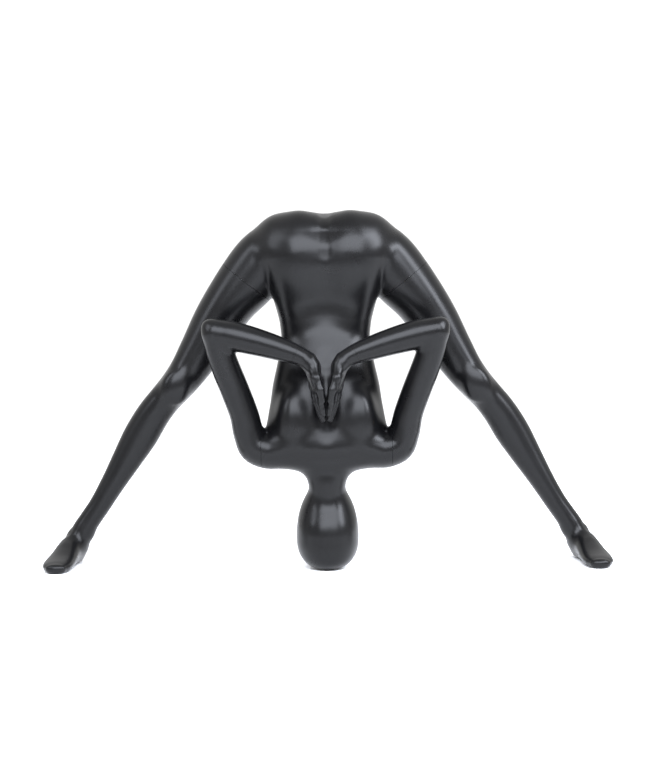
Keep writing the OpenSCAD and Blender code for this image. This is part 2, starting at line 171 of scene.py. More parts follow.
# %% [markdown]
# Level forms such as the trunk are stacked rings, and smaller forms are
# ellipsoids and round cones. `melt` is a smooth union and `carve` a smooth
# cut: inside the blend width both surfaces bend towards each other.

# %% Other forms and blends
class Stack:
    """Field of level rings: height, y of the middle, half width, depth towards
    -y, depth towards +y. Each end is rounded over its cap's height."""

    def __init__(self, rows, caps, step=7):
        rows = np.array(rows, float)
        path = np.column_stack([rows[:, 0], rows[:, 1], 0 * rows[:, 0], rows[:, 2:]])
        self.rows = smooth_rows(path, step)
        self.slope = np.gradient(self.rows[:, 3], self.rows[:, 0])
        self.caps = caps

    def __call__(self, points):
        heights = self.rows[:, 0]
        level = np.clip(points[:, 2], heights[0], heights[-1])
        middle, a, b, c, slope = (np.interp(level, heights, column) for column in
                                  (self.rows[:, 1], *self.rows[:, 3:].T, self.slope))
        over = points[:, 2] - level
        cap = np.where(over < 0, self.caps[0], self.caps[1])
        deep = points[:, 1] - middle
        depth = np.where(deep < 0, b, c)
        far = ellipse_distance(points[:, 0] / a, deep / depth, over / cap, a, depth, cap)
        return far / np.sqrt(1 + slope**2)


def ball(points, centre, sizes):
    """Field of an ellipsoid."""
    p, q, r = ((points - centre) / sizes).T
    return ellipse_distance(p, q, r, *sizes)


def rod(points, start, end):
    """Field of a round cone: each end is x, y, z and a radius."""
    start, end = np.array(start, float), np.array(end, float)
    step = end[:3] - start[:3]
    t = np.clip((points - start[:3]) @ step / (step @ step), 0, 1)
    away = np.linalg.norm(points - start[:3] - t[:, None] * step, axis=1)
    return away - (start[3] + t * (end[3] - start[3]))


def melt(a, b, width):
    h = np.clip(width - np.abs(a - b), 0, None) / width
    return np.minimum(a, b) - h * h * width / 4


def carve(a, b, width):
    """The form a without the form b."""
    return -melt(-a, b, width)


def chain(points, joints, width=3):
    far = rod(points, joints[0], joints[1])
    for start, end in zip(joints[1:], joints[2:]):
        far = melt(far, rod(points, start, end), width)
    return far


# %% [markdown]
# ## The trunk and head
# The trunk hangs upside down, so its rows climb from the shoulders near the
# floor to the hips at the top. The egg head has no features: a fuller lower
# half, which is its crown, and a slimmer upper half, which is its jaw.

# %% Rows of the trunk, neck and shoulders
TRUNK = Stack([
    [272, -101, 112, 56, 58], [291, -102, 126, 62, 62], [330, -94, 147, 74, 74],
    [375, -74, 143, 91, 92], [403, -62, 138, 98, 101], [450, -52, 131, 98, 97],
    [490, -44, 122, 89, 94], [540, -30, 112, 77, 85], [592, -8, 107, 77, 78],
    [640, 6, 114, 84, 79], [700, 14, 128, 104, 96], [760, 13, 137, 113, 106],
    [801, 16, 136, 106, 104], [825, 18, 128, 90, 94]], caps=(18, 46))

NECK = Stack([
    [150, -108, 45, 46, 48], [180, -110, 44, 50, 48], [200, -112, 45, 50, 50],
    [222, -110, 51, 52, 52], [240, -106, 64, 53, 54], [262, -102, 92, 55, 56],
    [285, -102, 112, 58, 60]], caps=(20, 20))

UPPER_ARM = Limb([
    [-30, -98, 308, 62, 66, 70], [60, -100, 300, 56, 62, 64],
    [110, -104, 292, 47, 56, 56], [150, -105, 290, 43.5, 49, 49],
    [174, -107, 299, 41, 47, 47], [189, -110, 330, 38, 44, 44],
    [200, -115, 377, 35.5, 42, 42], [220, -125, 435, 35, 38, 38],
    [242, -137, 493, 34.5, 36, 36], [260, -149, 550, 32, 33, 33],
    [268, -153, 578, 29, 30, 30]], caps=(0.5, 1))

FOREARM = Limb([
    [266, -155, 584, 30, 31, 31], [232, -160, 576, 35, 35, 35],
    [191, -166, 566, 34.5, 36, 36], [150, -173, 555, 32, 33.5, 33.5],
    [108, -180, 542, 28.5, 30, 30], [70, -187, 529, 24, 26.5, 26.5],
    [40, -192, 514, 20.5, 25, 25]], caps=(1, 0.6))


HEAD_WIDE, HEAD_BEHIND, HEAD_FRONT = 76.5, 92.0, 95.0
HEAD_EQUATOR, CROWN_DEPTH, JAW_HEIGHT = 80.0, 80.0, 128.0
HEAD_Y, CROWN_BEND, JAW_BEND = -99, -30, 50
CROWN_POWER, JAW_POWER = 2.5, 2.1
HEAD_MEAN = 78


def head(points):
    """Egg on its crown. A power above 2 makes an end a little square."""
    over = points[:, 2] - HEAD_EQUATOR
    low = over < 0
    share = over / np.where(low, CROWN_DEPTH, JAW_HEIGHT)
    middle = HEAD_Y + np.where(low, CROWN_BEND, JAW_BEND) * share**2
    deep = points[:, 1] - middle
    p, q = points[:, 0] / HEAD_WIDE, deep / np.where(deep < 0, HEAD_BEHIND, HEAD_FRONT)
    power = np.where(low, CROWN_POWER, JAW_POWER)
    size = ((p**2 + q**2) ** (power / 2) + np.abs(share) ** power) ** (1 / power)
    return (size - 1) * HEAD_MEAN


print("trunk", len(TRUNK.rows), "rings, neck", len(NECK.rows), "rings")


# %% [markdown]
# ## The legs
# One line runs from inside the hip through the knee to the ankle. The thigh
# and calf are fuller behind, which is towards +y, and the shin is nearly
# straight in front.

# %% Rows of the leg and foot
LEG = Limb([
    [45, 22, 800, 66, 80, 80], [95, 24, 789, 75, 82, 82],
    [140, 25, 765, 76, 82, 82], [196, 25, 702, 74, 78, 78],
    [238, 24, 651, 66, 73, 73], [268, 23, 606, 62, 68, 68],
    [312, 18, 531, 54, 60, 60], [350, 11, 473, 46, 52, 52],
    [376, 8, 441, 42.5, 50, 48], [403, 11, 411, 40.5, 46, 50],
    [428, 16, 380, 41.5, 45, 53], [466, 22, 320, 43, 44, 56],
    [502, 20, 260, 37, 39, 50], [538, 16, 200, 30.5, 35, 41],
    [575, 13, 140, 27, 32, 35], [596, 12, 110, 27, 32, 35],
    [616, 12, 78, 28, 35, 36], [626, 13, 50, 26, 37, 35]], caps=(0.9, 0.8))

# A row of the foot is its distance from the heel, height of the middle, side
# shift, half width, depth down and depth up.
FOOT = Limb([
    [24, 27, 0, 26, 30, 25], [46, 32, 0, 30, 34, 33],
    [74, 36, 0, 31.5, 38, 35], [100, 32, 1, 32.5, 34, 31],
    [130, 25, 2, 35, 28, 25], [160, 19.5, 3, 37.5, 23, 19.5],
    [188, 16.5, 2, 37, 20, 15.5], [208, 14.5, 0, 33, 18, 13.5],
    [222, 13.5, -2, 26, 17, 11]], caps=(0.92, 0.58))
HEEL = np.array([633.0, 55.0, 0.0])
TOE_OUT = math.radians(8)
SOLE_EDGE = 5


def foot(points):
    off = points - HEEL
    length = off[:, 0] * math.sin(TOE_OUT) - off[:, 1] * math.cos(TOE_OUT)
    side = off[:, 0] * math.cos(TOE_OUT) + off[:, 1] * math.sin(TOE_OUT)
    solid = FOOT(np.column_stack([length, off[:, 2], side]))
    return carve(solid, points[:, 2], SOLE_EDGE)


KNEECAP = ([374, -31, 441], [26, 14, 34])
ANKLE_BONES = [([642, 14, 68], [10, 12, 14]), ([600, 10, 78], [10, 12, 14])]
FOOT_BLEND, KNEE_BLEND, ANKLE_BLEND = 22, 30, 16


def leg(points):
    far = melt(LEG(points), foot(points), FOOT_BLEND)
    far = melt(far, ball(points, *KNEECAP), KNEE_BLEND)
    for bone in ANKLE_BONES:
        far = melt(far, ball(points, *bone), ANKLE_BLEND)
    return far


print("leg", len(LEG.rows), "stations, foot", len(FOOT.rows), "stations")


# %% [markdown]
# ## Modelling on the trunk
# Buttocks, the hips and the shoulder blades are soft swells melted into the
# trunk. The cleft and the spine are grooves carved out of it.

# %% Trunk with its swells and grooves
# form, its two ends or its middle and half sizes, and its blend width
SWELLS = [(rod, ([56, -24, 610, 48], [84, -18, 765, 77]), 34),    # side of the hip
          (ball, ([108, 8, 796], [64, 78, 72]), 34),              # corner of the hip
          (ball, ([60, -20, 760], [66, 87, 112]), 30),            # buttock
          (ball, ([80, -122, 362], [42, 49, 78]), 26)]            # shoulder blade
CLEFT = [[0, -114, 738, 3], [0, -114, 770, 7], [0, -102, 815, 8], [0, -64, 862, 9],
         [0, 20, 890, 15]]
SPINE = [[0, -130, 535, 8], [0, -139, 505, 9], [0, -153.5, 460, 8],
         [0, -167, 400, 8], [0, -176, 330, 8]]
BETWEEN_BLADES = ([0, -205, 370], [42, 45, 80])
NECK_BLEND, HEAD_BLEND, VALLEY_BLEND = 30, 26, 14
CLEFT_BEND, CLEFT_BLEND = 20, 12
SPINE_BEND, SPINE_BLEND = 30, 22


def trunk(points):
    far = melt(TRUNK(points), NECK(points), NECK_BLEND)
    far = melt(far, head(points), HEAD_BLEND)
    for side in SIDES.values():
        here = points * np.array([side, 1, 1])
        for form, numbers, width in SWELLS:
            far = melt(far, form(here, *numbers), width)
    far = carve(far, ball(points, *BETWEEN_BLADES), VALLEY_BLEND)
    far = carve(far, chain(points, CLEFT, CLEFT_BEND), CLEFT_BLEND)
    return carve(far, chain(points, SPINE, SPINE_BEND), SPINE_BLEND)


ARM_BLEND, HIP_BLEND = 18, 16
ARM_BLEND_TOP, HIP_BLEND_BOTTOM = 430.0, 560
CROWN_EDGE = 3
FOREARM_BLEND, ELBOW_BLEND = 16, 14
ELBOW = ([283, -153, 598], [14, 16, 14])


def torso(points):
    far = trunk(points)
    for side in SIDES.values():
        here = points * np.array([side, 1, 1])
        far = melt(far, UPPER_ARM(here), ARM_BLEND)
        far = melt(far, LEG(here), HIP_BLEND)
    return carve(far, points[:, 2], CROWN_EDGE)


def swell(far, other, width):
    """The form alone, swollen as melt would swell it beside the other form."""
    h = np.clip(width - np.abs(far - other), 0, None) / width
    return far - h * h * width / 4


def arm(points):
    far = UPPER_ARM(points)
    low = points[:, 2] < ARM_BLEND_TOP
    far[low] = swell(far[low], trunk(points[low]), ARM_BLEND)
    far = melt(far, FOREARM(points), FOREARM_BLEND)
    return melt(far, ball(points, *ELBOW), ELBOW_BLEND)


def leg_piece(points):
    far = leg(points)
    high = points[:, 2] > HIP_BLEND_BOTTOM
    far[high] = swell(far[high], trunk(points[high]), HIP_BLEND)
    return far


# %% [markdown]
# ## The hands
# The palms face each other across the middle plane, the little fingers lie
# towards the spine and the thumbs away from it. Each finger is a chain of
# round cones, and the pads are flat where the two hands press together.

# %% Hand
FINGERS = [
    [[16, -226, 442, 9.2], [12, -226, 416, 8.2], [8.6, -224, 398, 7.2], [6.6, -222, 387, 6]],
    [[22, -211, 440, 9.2], [17, -211, 412, 8.3], [11, -209, 388, 7.3], [6.8, -208, 374, 6]],
    [[28, -196, 442, 9], [23.5, -196, 414, 8.1], [15.5, -195, 388, 7.1], [9.5, -194, 371, 5.8]],
    [[32, -182, 450, 8.2], [29, -182, 428, 7.4], [22.5, -182, 406, 6.5], [16.5, -182, 391, 5.4]]]
THUMB = [[31, -208, 500, 14], [25, -228, 474, 12], [15, -236, 446, 10], [9, -234, 422, 7.6]]
PALM = [[[31, -200, 500, 14], [17, -222, 448, 10]], [[31, -195, 500, 15], [22, -208, 448, 10.5]],
        [[32, -190, 498, 14], [27, -194, 450, 10]], [[32, -186, 494, 13], [31, -182, 458, 9]]]
PALM_BLEND, FINGER_BLEND, KNUCKLE_BLEND = 14, 1.6, 9
THUMB_BEND, THUMB_BLEND, WRIST_BLEND, PAD_EDGE = 6, 8, 18, 1.5


def hand(points):
    far = rod(points, *PALM[0])
    for bone in PALM[1:]:
        far = melt(far, rod(points, *bone), PALM_BLEND)
    fingers = chain(points, FINGERS[0])
    for finger in FINGERS[1:]:
        fingers = melt(fingers, chain(points, finger), FINGER_BLEND)
    far = melt(far, fingers, KNUCKLE_BLEND)
    far = melt(far, chain(points, THUMB, THUMB_BEND), THUMB_BLEND)
    far = melt(far, FOREARM(points), WRIST_BLEND)
    return carve(far, points[:, 0] - SEAM_GAP / 2, PAD_EDGE)


print("hand", len(FINGERS), "fingers and a thumb")


# %% [markdown]
# ## From a field to a mesh
# *Surface nets* put one vertex in each grid cell that the skin crosses and
# join neighbouring cells with quads. Only the cells near the skin are worked
# out exactly, because a whole fine grid would take minutes.

# %% Surface nets
COARSE = 4                            # a rough cell is this many cells wide
NEAR = 4.5                            # rough cells from the skin that are made exact


def sample(field, low, shape, step):
    """Field values on a grid, exact near the skin and rough elsewhere."""
    rough_shape = [n // COARSE + 2 for n in shape]
    ticks = [low[k] + (np.arange(rough_shape[k]) + 0.5) * COARSE * step for k in range(3)]
    grid = np.stack(np.meshgrid(*ticks, indexing="ij"), -1).reshape(-1, 3)
    rough = field(grid).reshape(rough_shape)
    index = [np.arange(n) // COARSE for n in shape]
    values = rough[np.ix_(*index)].copy()
    close = np.abs(values) < NEAR * COARSE * step
    at = np.argwhere(close)
    values[close] = field(low + at * step)
    return values


def surface_net(field, low, high, step):
    """Vertices and outward quads of the field's zero surface."""
    low = np.array(low, float)
    shape = [int((high[k] - low[k]) / step) + 2 for k in range(3)]
    values = sample(field, low, shape, step)
    inside = values < 0
    corners = np.array([[i, j, k] for i in (0, 1) for j in (0, 1) for k in (0, 1)])
    cells = tuple(n - 1 for n in shape)
    count = sum(inside[c[0]:c[0] + cells[0], c[1]:c[1] + cells[1], c[2]:c[2] + cells[2]]
                .astype(np.int8) for c in corners)
    active = np.argwhere((count > 0) & (count < 8))
    number = np.full(cells, -1, np.int64)
    number[tuple(active.T)] = np.arange(len(active))
    total = np.zeros((len(active), 3))
    hits = np.zeros(len(active))
    for a in corners:
        for axis in range(3):
            if a[axis]:
                continue
            b = a.copy()
            b[axis] = 1
            va = values[tuple((active + a).T)]
            vb = values[tuple((active + b).T)]
            crossed = (va < 0) != (vb < 0)
            t = np.where(crossed, va / np.where(crossed, va - vb, 1), 0)
            total += np.where(crossed[:, None], a + t[:, None] * (b - a), 0)
            hits += crossed
    vertices = low + (active + total / hits[:, None]) * step
    quads = []
    for axis in range(3):
        one = np.zeros(3, int)
        one[axis] = 1
        u, v = np.eye(3, dtype=int)[[(axis + 1) % 3, (axis + 2) % 3]]
        a = inside[:-1, :-1, :-1]
        b = np.roll(inside, -1, axis)[:-1, :-1, :-1]
        edge = np.argwhere(a != b)
        edge = edge[np.all(edge[:, [(axis + 1) % 3, (axis + 2) % 3]] > 0, axis=1)]
        ring = np.stack([number[tuple((edge - s).T)] for s in (0 * u, u, u + v, v)], 1)
        outward = inside[tuple(edge.T)]
        ring[~outward] = ring[~outward][:, ::-1]
        quads.append(ring[np.all(ring >= 0, axis=1)])
    return vertices, np.concatenate(quads)


# %% [markdown]
# A raw net is slightly stepped. Each round moves the vertices towards the
# middle of their neighbours, which evens the quads, and then back onto the
# skin along the field's slope.

# %% Relax and push
PROBE = 0.4                           # distance to both sides for a slope, mm
LONGEST_PUSH = 4                      # mm
FLATTEST = 0.05                       # least squared slope that is divided by


def push_to_skin(vertices, field, rounds=2):
    """Newton steps down the field's slope, none longer than LONGEST_PUSH mm."""
    for _ in range(rounds):
        value = field(vertices)
        slope = np.stack([field(vertices + PROBE * e) - field(vertices - PROBE * e)
                          for e in np.eye(3)], 1) / (2 * PROBE)
        size = np.maximum((slope**2).sum(1), FLATTEST)[:, None]
        vertices = vertices - np.clip(value[:, None] * slope / size,
                                      -LONGEST_PUSH, LONGEST_PUSH)
    return vertices


def relax(vertices, quads, share=0.5):
    """Moves each vertex a share of the way to the middle of its neighbours."""
    total = np.zeros_like(vertices)
    count = np.zeros(len(vertices))
    for a, b in ((0, 1), (1, 2), (2, 3), (3, 0)):
        np.add.at(total, quads[:, a], vertices[quads[:, b]])
        np.add.at(total, quads[:, b], vertices[quads[:, a]])
        np.add.at(count, quads[:, a], 1)
        np.add.at(count, quads[:, b], 1)
    return vertices + share * (total / count[:, None] - vertices)


def skin(field, low, high, step):
    vertices, quads = surface_net(field, low, high, step)
    for _ in range(3):
        vertices = push_to_skin(relax(vertices, quads), field, 1)
    return push_to_skin(vertices, field), quads


# %% [markdown]
# ## From a mesh to a casting
# A casting is cut at its seams with a plane and keeps what is on its own side.
# Small islands that a cut leaves behind are deleted.

# %% Casting
def to_frame(point):
    return Vector((point[0] * MM, (point[1] + ankle_y) * MM, point[2] * MM))


def new_object(name, vertices, faces):
    mesh = bpy.data.meshes.new(name)
    placed = (np.asarray(vertices) + [0, ankle_y, 0]) * MM
    mesh.from_pydata(placed.tolist(), [], np.asarray(faces).tolist())
    piece = bpy.data.objects.new(name, mesh)
    bpy.context.scene.collection.objects.link(piece)
    return piece


def cut(piece, point, normal, within=None):
    """Removes what lies beyond the plane, of the faces that within accepts."""
    work = bmesh.new()
    work.from_mesh(piece.data)
    faces = [f for f in work.faces if within is None or within(f.calc_center_median() / MM)]
    geometry = set(faces)
    for face in faces:
        geometry.update(face.verts)
        geometry.update(face.edges)
    bmesh.ops.bisect_plane(work, geom=list(geometry), plane_co=to_frame(point),
                           plane_no=Vector(normal), clear_outer=True, dist=1e-6)
    work.to_mesh(piece.data)
    work.free()


def keep_largest(piece):
    """Deletes all loose islands but the largest and tells how many."""
    work = bmesh.new()
    work.from_mesh(piece.data)
    left = set(work.verts)
    islands = []
    while left:
        stack = [left.pop()]
        island = set(stack)
        while stack:
            for edge in stack.pop().link_edges:
                for vertex in edge.verts:
                    if vertex in left:
                        left.remove(vertex)
                        island.add(vertex)
                        stack.append(vertex)
        islands.append(island)
    islands.sort(key=len)
    for island in islands[:-1]:
        bmesh.ops.delete(work, geom=list(island), context="VERTS")
    work.to_mesh(piece.data)
    work.free()
    return len(islands) - 1


# %% [markdown]
# The wall is laid inside the skin, as in a mould. A sharp edge is kept only at
# the rims, and the other side of the body is a mirror image.

# %% Wall, shading and the other side
WALL = 3.5 * MM
RIM_ANGLE = math.radians(35)


def bake_modifiers(piece):
    """Makes a plain mesh of what the modifiers give, and removes them."""
    shaped = piece.evaluated_get(bpy.context.evaluated_depsgraph_get())
    mesh = bpy.data.meshes.new_from_object(shaped)
    piece.modifiers.clear()
    old = piece.data
    piece.data = mesh
    mesh.name = piece.name
    bpy.data.meshes.remove(old)


def give_wall(piece):
    solid = piece.modifiers.new("wall", "SOLIDIFY")
    solid.thickness = WALL
    solid.offset = -1
    bake_modifiers(piece)


def shade(piece):
    piece.data.shade_smooth()
    piece.data.set_sharp_from_angle(angle=RIM_ANGLE)


def other_side(name, piece):
    """A mirrored copy for the right side, with its faces turned outwards."""
    twin = piece.copy()
    twin.data = piece.data.copy()
    twin.name = twin.data.name = name
    bpy.context.scene.collection.objects.link(twin)
    work = bmesh.new()
    work.from_mesh(twin.data)
    for vertex in work.verts:
        vertex.co.x = -vertex.co.x
    bmesh.ops.reverse_faces(work, faces=work.faces[:])
    work.to_mesh(twin.data)
    work.free()
    return twin


# %% [markdown]
# ### Torso
# On the real figure this is the largest moulding, with the head laid up in one
# with it. It's cut square at each shoulder, and at a slant at each thigh. A
# plane has no end, so each cut only takes faces from its own stub.

# %% Torso casting
# Each grid is a lower corner, an upper corner and a cell size in millimetres.
TORSO_GRID = ((-285, -215, -8), (285, 150, 892), 5)
STUB_LOW, STUB_HIGH, STUB_X = 560, 800, 131
SHOULDER_TOP = 450
vertices, faces = skin(torso, *TORSO_GRID)
torso_piece = new_object("torso_casting", vertices, faces)


def in_stub(centre):
    return abs(centre.x) > STUB_X and STUB_LOW < centre.z < STUB_HIGH


for side in SIDES.values():
    mirror = np.array([side, 1, 1])
    cut(torso_piece, mirror * [shoulder_x - SEAM_GAP / 2, 0, 0], (side, 0, 0),
        lambda centre: centre.z < SHOULDER_TOP)
    cut(torso_piece, mirror * (thigh_seam - leg_axis * SEAM_GAP / 2), mirror * leg_axis,
        lambda centre, side=side: in_stub(centre) and centre.x * side > 0)
print("torso: loose islands removed", keep_largest(torso_piece))
give_wall(torso_piece)
shade(torso_piece)
print("torso", len(torso_piece.data.polygons), "faces")

# %% [markdown]
# ### Arms
# An arm is moulded with its elbow already bent, so it has two cut ends: the
# shoulder and the wrist. The right one is the mirror image of the left one.

# %% Arm castings
ARM_GRID = ((20, -235, 235), (312, -40, 630), 4)
WRIST_BOTTOM = 480
vertices, faces = skin(arm, *ARM_GRID)
left_arm = new_object("left_arm_casting", vertices, faces)
cut(left_arm, [shoulder_x + SEAM_GAP / 2, 0, 0], (-1, 0, 0),
    lambda centre: centre.z < SHOULDER_TOP)
cut(left_arm, wrist_seam - wrist_axis * SEAM_GAP / 4, wrist_axis,
    lambda centre: centre.z > WRIST_BOTTOM)
print("arm: loose islands removed", keep_largest(left_arm))
give_wall(left_arm)
shade(left_arm)
right_arm = other_side("right_arm_casting", left_arm)
print("arm", len(left_arm.data.polygons), "faces")

# %% [markdown]
# ### Hands
# Hands are moulded apart from the arms, so that sleeves go on. Fingers need a
# finer grid than the rest of the body.

# %% Hand castings
HAND_GRID = ((-4, -262, 338), (112, -150, 560), 1.8)
vertices, faces = skin(hand, *HAND_GRID)
left_hand = new_object("left_hand_casting", vertices, faces)
cut(left_hand, wrist_seam + wrist_axis * SEAM_GAP / 4, -wrist_axis)
print("hand: loose islands removed", keep_largest(left_hand))
give_wall(left_hand)
shade(left_hand)
right_hand = other_side("right_hand_casting", left_hand)
print("hand", len(left_hand.data.polygons), "faces")

# %% [markdown]
# ### Legs
# A leg is one moulding from the thigh seam to the toes, with a flat sole.

# %% Leg castings
LEG_GRID = ((90, -205, -6), (712, 125, 850), 5)
vertices, faces = skin(leg_piece, *LEG_GRID)
left_leg = new_object("left_leg_casting", vertices, faces)
cut(left_leg, thigh_seam + leg_axis * SEAM_GAP / 2, -leg_axis)
print("leg: loose islands removed", keep_largest(left_leg))
give_wall(left_leg)
shade(left_leg)
right_leg = other_side("right_leg_casting", left_leg)
print("leg", len(left_leg.data.polygons), "faces")

# %% [markdown]
# ## Finishes
# Display mannequins are sprayed with a two-part satin enamel over filled and
# sanded fibreglass. It is almost black, a touch cool, and reflects a lamp as
# a soft-edged patch. Spraying leaves a faint orange-peel texture a few
# millimetres across, and handling leaves slightly shinier and duller areas.

# %% Helpers for materials
def linear(hex_colour):
    values = [int(hex_colour[k:k + 2], 16) / 255 for k in (1, 3, 5)]
    return (*[v / 12.92 if v <= 0.04045 else ((v + 0.055) / 1.055) ** 2.4 for v in values], 1)


def material(name):
    made = bpy.data.materials.new(name)
    made.use_nodes = True
    made.node_tree.nodes.clear()
    return made


def add(tree, kind, settings=None, **links):
    """A node with its settings, and links by socket name with _ for a space."""
    node = tree.nodes.new(kind)
    for key, value in (settings or {}).items():
        if hasattr(node, key):
            setattr(node, key, value)
        else:
            node.inputs[key].default_value = value
    for key, source in links.items():
        tree.links.new(source, node.inputs[key.replace("_", " ")])
    return node


def finish_with(made, shader):
    out = made.node_tree.nodes.new("ShaderNodeOutputMaterial")
    made.node_tree.links.new(shader.outputs[0], out.inputs["Surface"])
    return made


# %% Satin black enamel
PEEL_SCALE = 260                      # dimples about 4 mm apart
CLOUD_SCALE = 9                       # patches about 110 mm across
DUSTED, HANDLED = 0.33, 0.26          # dullest and shiniest roughness


def satin_black_enamel():
    """Gives the eye soft-edged highlights on a body that is almost black."""
    made = material("satin_black_enamel")
    tree = made.node_tree
    place = add(tree, "ShaderNodeTexCoord").outputs["Object"]
    peel = add(tree, "ShaderNodeTexNoise",
               {"Scale": PEEL_SCALE, "Detail": 2, "Roughness": 0.5}, Vector=place)
    cloud = add(tree, "ShaderNodeTexNoise",
                {"Scale": CLOUD_SCALE, "Detail": 4, "Roughness": 0.6}, Vector=place)
    rough = add(tree, "ShaderNodeMapRange", {"From Min": 0.3, "From Max": 0.7,
                "To Min": HANDLED, "To Max": DUSTED}, Value=cloud.outputs["Fac"])
    tone = add(tree, "ShaderNodeValToRGB", {}, Fac=cloud.outputs["Fac"])
    tone.color_ramp.elements[0].position = 0.3
    tone.color_ramp.elements[0].color = linear("#050506")
    tone.color_ramp.elements[1].position = 0.7
    tone.color_ramp.elements[1].color = linear("#070708")
    bump = add(tree, "ShaderNodeBump", {"Strength": 0.08, "Distance": 0.0004},
               Height=peel.outputs["Fac"])
    shader = add(tree, "ShaderNodeBsdfPrincipled", {"IOR": 1.5, "Specular IOR Level": 0.18},
                 Base_Color=tone.outputs[0], Roughness=rough.outputs[0], Normal=bump.outputs[0])
    return finish_with(made, shader)


enamel = satin_black_enamel()

# %% [markdown]
# The fittings are turned steel and zinc-plated parts on birch plywood boards.
# They show only when a limb is pulled off. The metals are told apart by their
# grey and by how sharp their reflection is, the boards by their long grain.

# %% Metal and wood of the fittings
GRAIN_SCALE = 160                     # grain lines about 6 mm apart
ALONG_GRAIN = 0.12                    # stretch of the pattern along the board


def turned_metal(name, light, dark, roughness, patch_mm):
    """Gives the eye a bright metal that isn't quite even: fine grey patches."""
    made = material(name)
    tree = made.node_tree
    place = add(tree, "ShaderNodeTexCoord").outputs["Object"]
    patches = add(tree, "ShaderNodeTexNoise", {"Scale": 1 / (patch_mm * MM), "Detail": 3},
                  Vector=place)
    tone = add(tree, "ShaderNodeValToRGB", {}, Fac=patches.outputs["Fac"])
    tone.color_ramp.elements[0].color = linear(dark)
    tone.color_ramp.elements[1].color = linear(light)
    rough = add(tree, "ShaderNodeMapRange", {"To Min": roughness - 0.06,
                "To Max": roughness + 0.1}, Value=patches.outputs["Fac"])
    bump = add(tree, "ShaderNodeBump", {"Strength": 0.15, "Distance": 0.0002},
               Height=patches.outputs["Fac"])
    shader = add(tree, "ShaderNodeBsdfPrincipled", {"Metallic": 1},
                 Base_Color=tone.outputs[0], Roughness=rough.outputs[0],
                 Normal=bump.outputs[0])
    return finish_with(made, shader)


def birch_plywood():
    """Gives the eye a pale warm board with a grain that runs one way."""
    made = material("birch_plywood")
    tree = made.node_tree
    place = add(tree, "ShaderNodeTexCoord").outputs["Object"]
    long_grain = add(tree, "ShaderNodeMapping", {"Scale": (1, ALONG_GRAIN, 1)}, Vector=place)
    grain = add(tree, "ShaderNodeTexNoise",
                {"Scale": GRAIN_SCALE, "Detail": 5, "Roughness": 0.6},
                Vector=long_grain.outputs[0])
    tone = add(tree, "ShaderNodeValToRGB", {}, Fac=grain.outputs["Fac"])
    tone.color_ramp.elements[0].position = 0.3
    tone.color_ramp.elements[0].color = linear("#a88455")
    tone.color_ramp.elements[1].position = 0.7
    tone.color_ramp.elements[1].color = linear("#d6b98a")
    bump = add(tree, "ShaderNodeBump", {"Strength": 0.3, "Distance": 0.0003},
               Height=grain.outputs["Fac"])
    shader = add(tree, "ShaderNodeBsdfPrincipled", {"Roughness": 0.6},
                 Base_Color=tone.outputs[0], Normal=bump.outputs[0])
    return finish_with(made, shader)


finishes = {
    "steel": turned_metal("turned_steel", "#a4a6a8", "#85888b", 0.3, 1.2),
    "zinc": turned_metal("bright_zinc_plate", "#bfc2c4", "#a5a9ad", 0.25, 2.5),
    "magnet": turned_metal("nickel_plate", "#cfcbc2", "#bbb6ab", 0.15, 3.0),
    "plywood": birch_plywood(),
}
print("finishes", enamel.name, *(made.name for made in finishes.values()))

# %% [markdown]
# ## Screws
# The boards take countersunk machine screws with a cross recess, set in rings.
# A factory turns the head, rolls the thread and presses the cross, and whoever
# drives them stops each one at its own angle. One Geometry Nodes tree does the
# same: head minus cross, ridged shank, then a ring of them at random turns.

# %% Tree for a ring of screws
# shares of the thread's diameter
HEAD_SHARE = 0.6
CROSS_LONG, CROSS_WIDE, CROSS_LIFT = 1.2, 0.24, 0.2
RIDGE = 0.09
# sides of the round forms, and the seed of the random turns
HEAD_SIDES, SHANK_SIDES = 32, 24
TURN_SEED = 5


